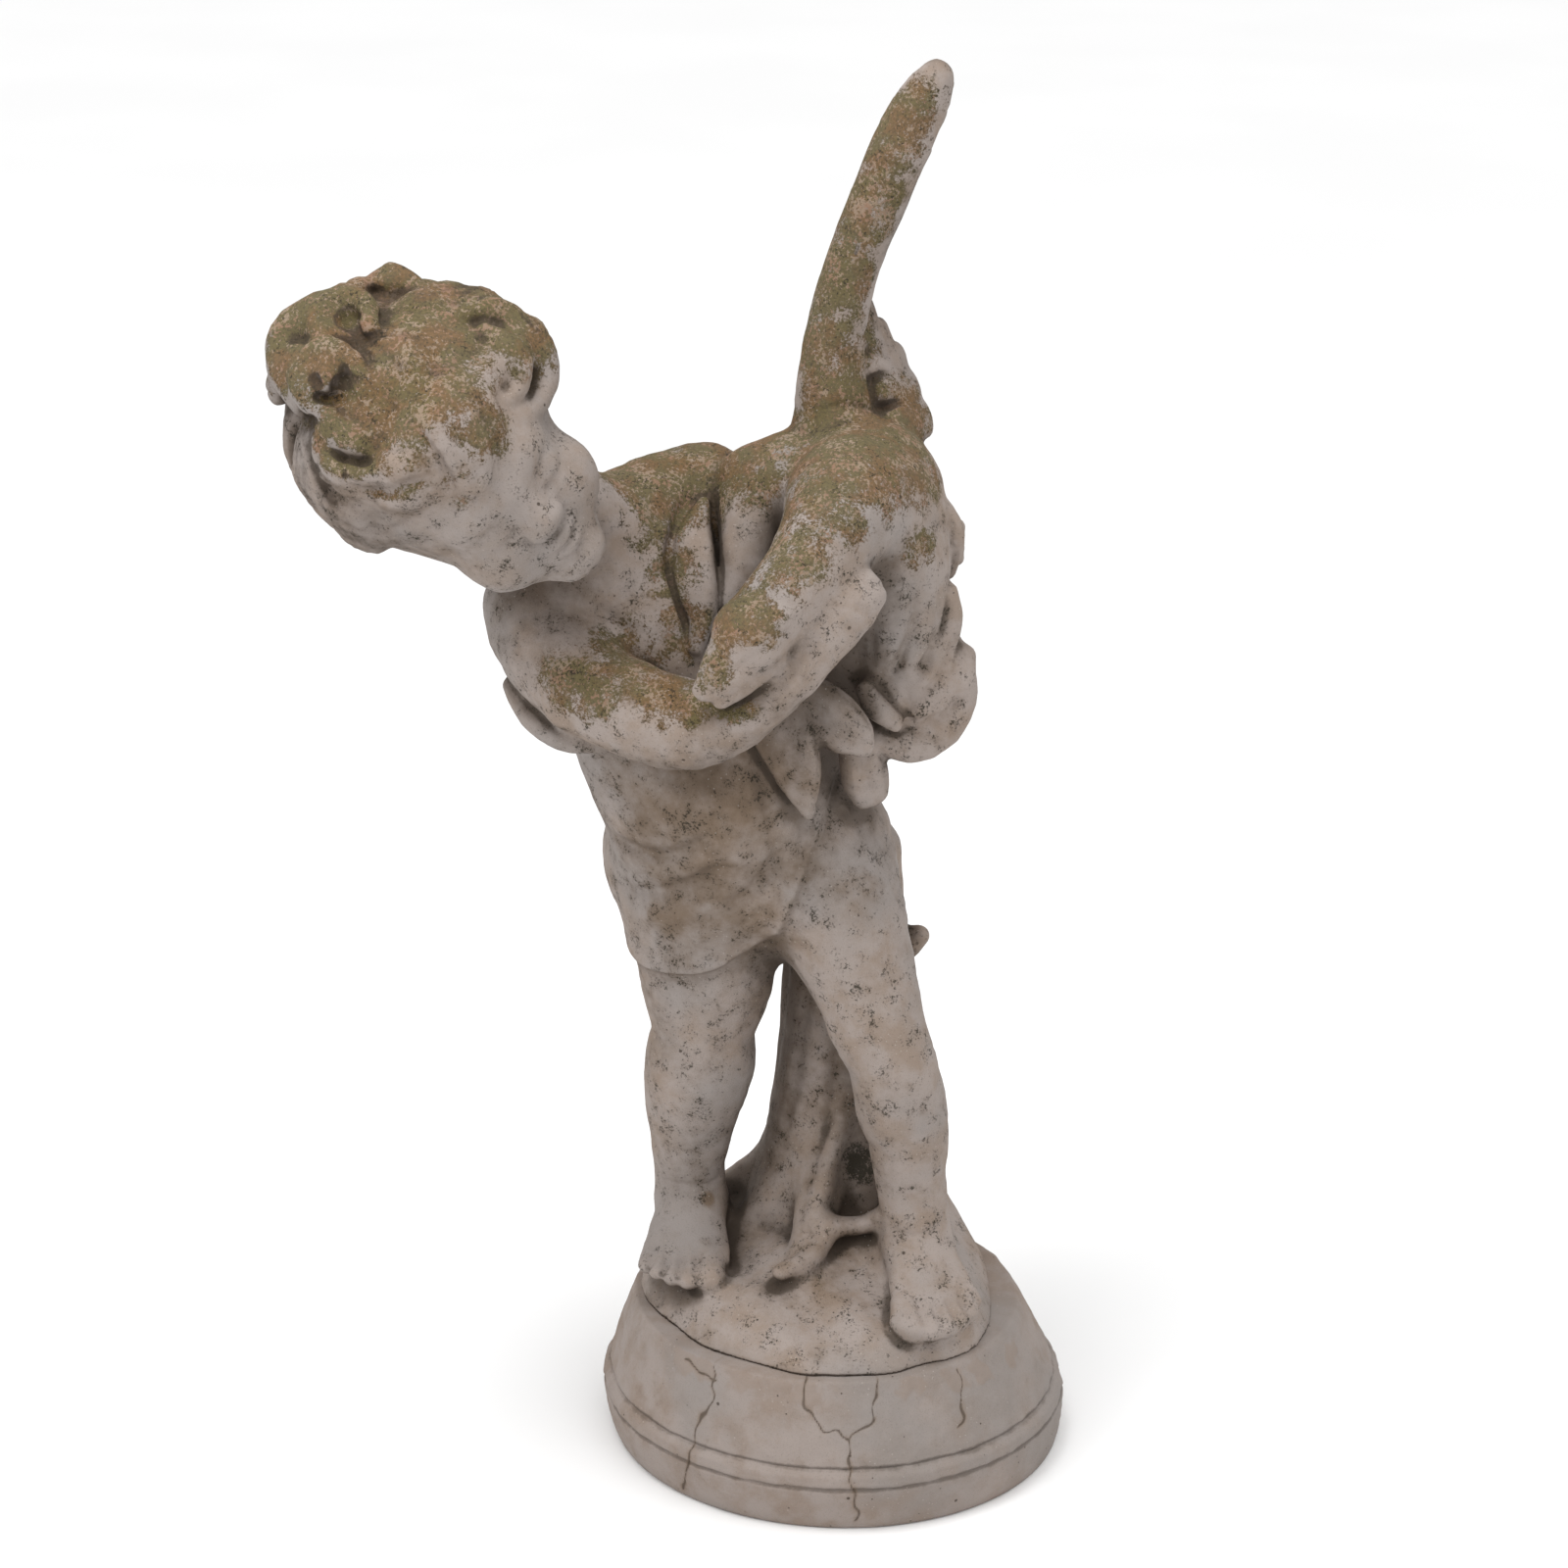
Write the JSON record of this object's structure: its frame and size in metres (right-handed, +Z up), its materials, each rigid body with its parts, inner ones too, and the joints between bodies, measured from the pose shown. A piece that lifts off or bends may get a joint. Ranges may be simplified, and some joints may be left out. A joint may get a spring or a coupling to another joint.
{
  "type": "child garden sculpture",
  "caption": "Cast stone garden statue of a small child hugging a goose, on a tree stump, a rock mound and a low round moulded plinth, weathered with moss.",
  "frame": {"origin": "middle of the plinth's flat underside", "axes": "+Z up, -Y out of the front, where the child's chest and toes point, +X to the viewer's right, where the goose is held"},
  "size_m": [0.5608, 0.3643, 1.0083],
  "materials": {
    "figure_stone": "weathered matte cast stone, pale warm grey with olive and rust moss on the upper sides",
    "plinth_stone": "weathered matte cast stone, pinkish beige with cracks and pits"
  },
  "bodies": {
    "root": {"child_with_goose": "figure_stone", "plinth": "plinth_stone"}
  },
  "joints": []
}
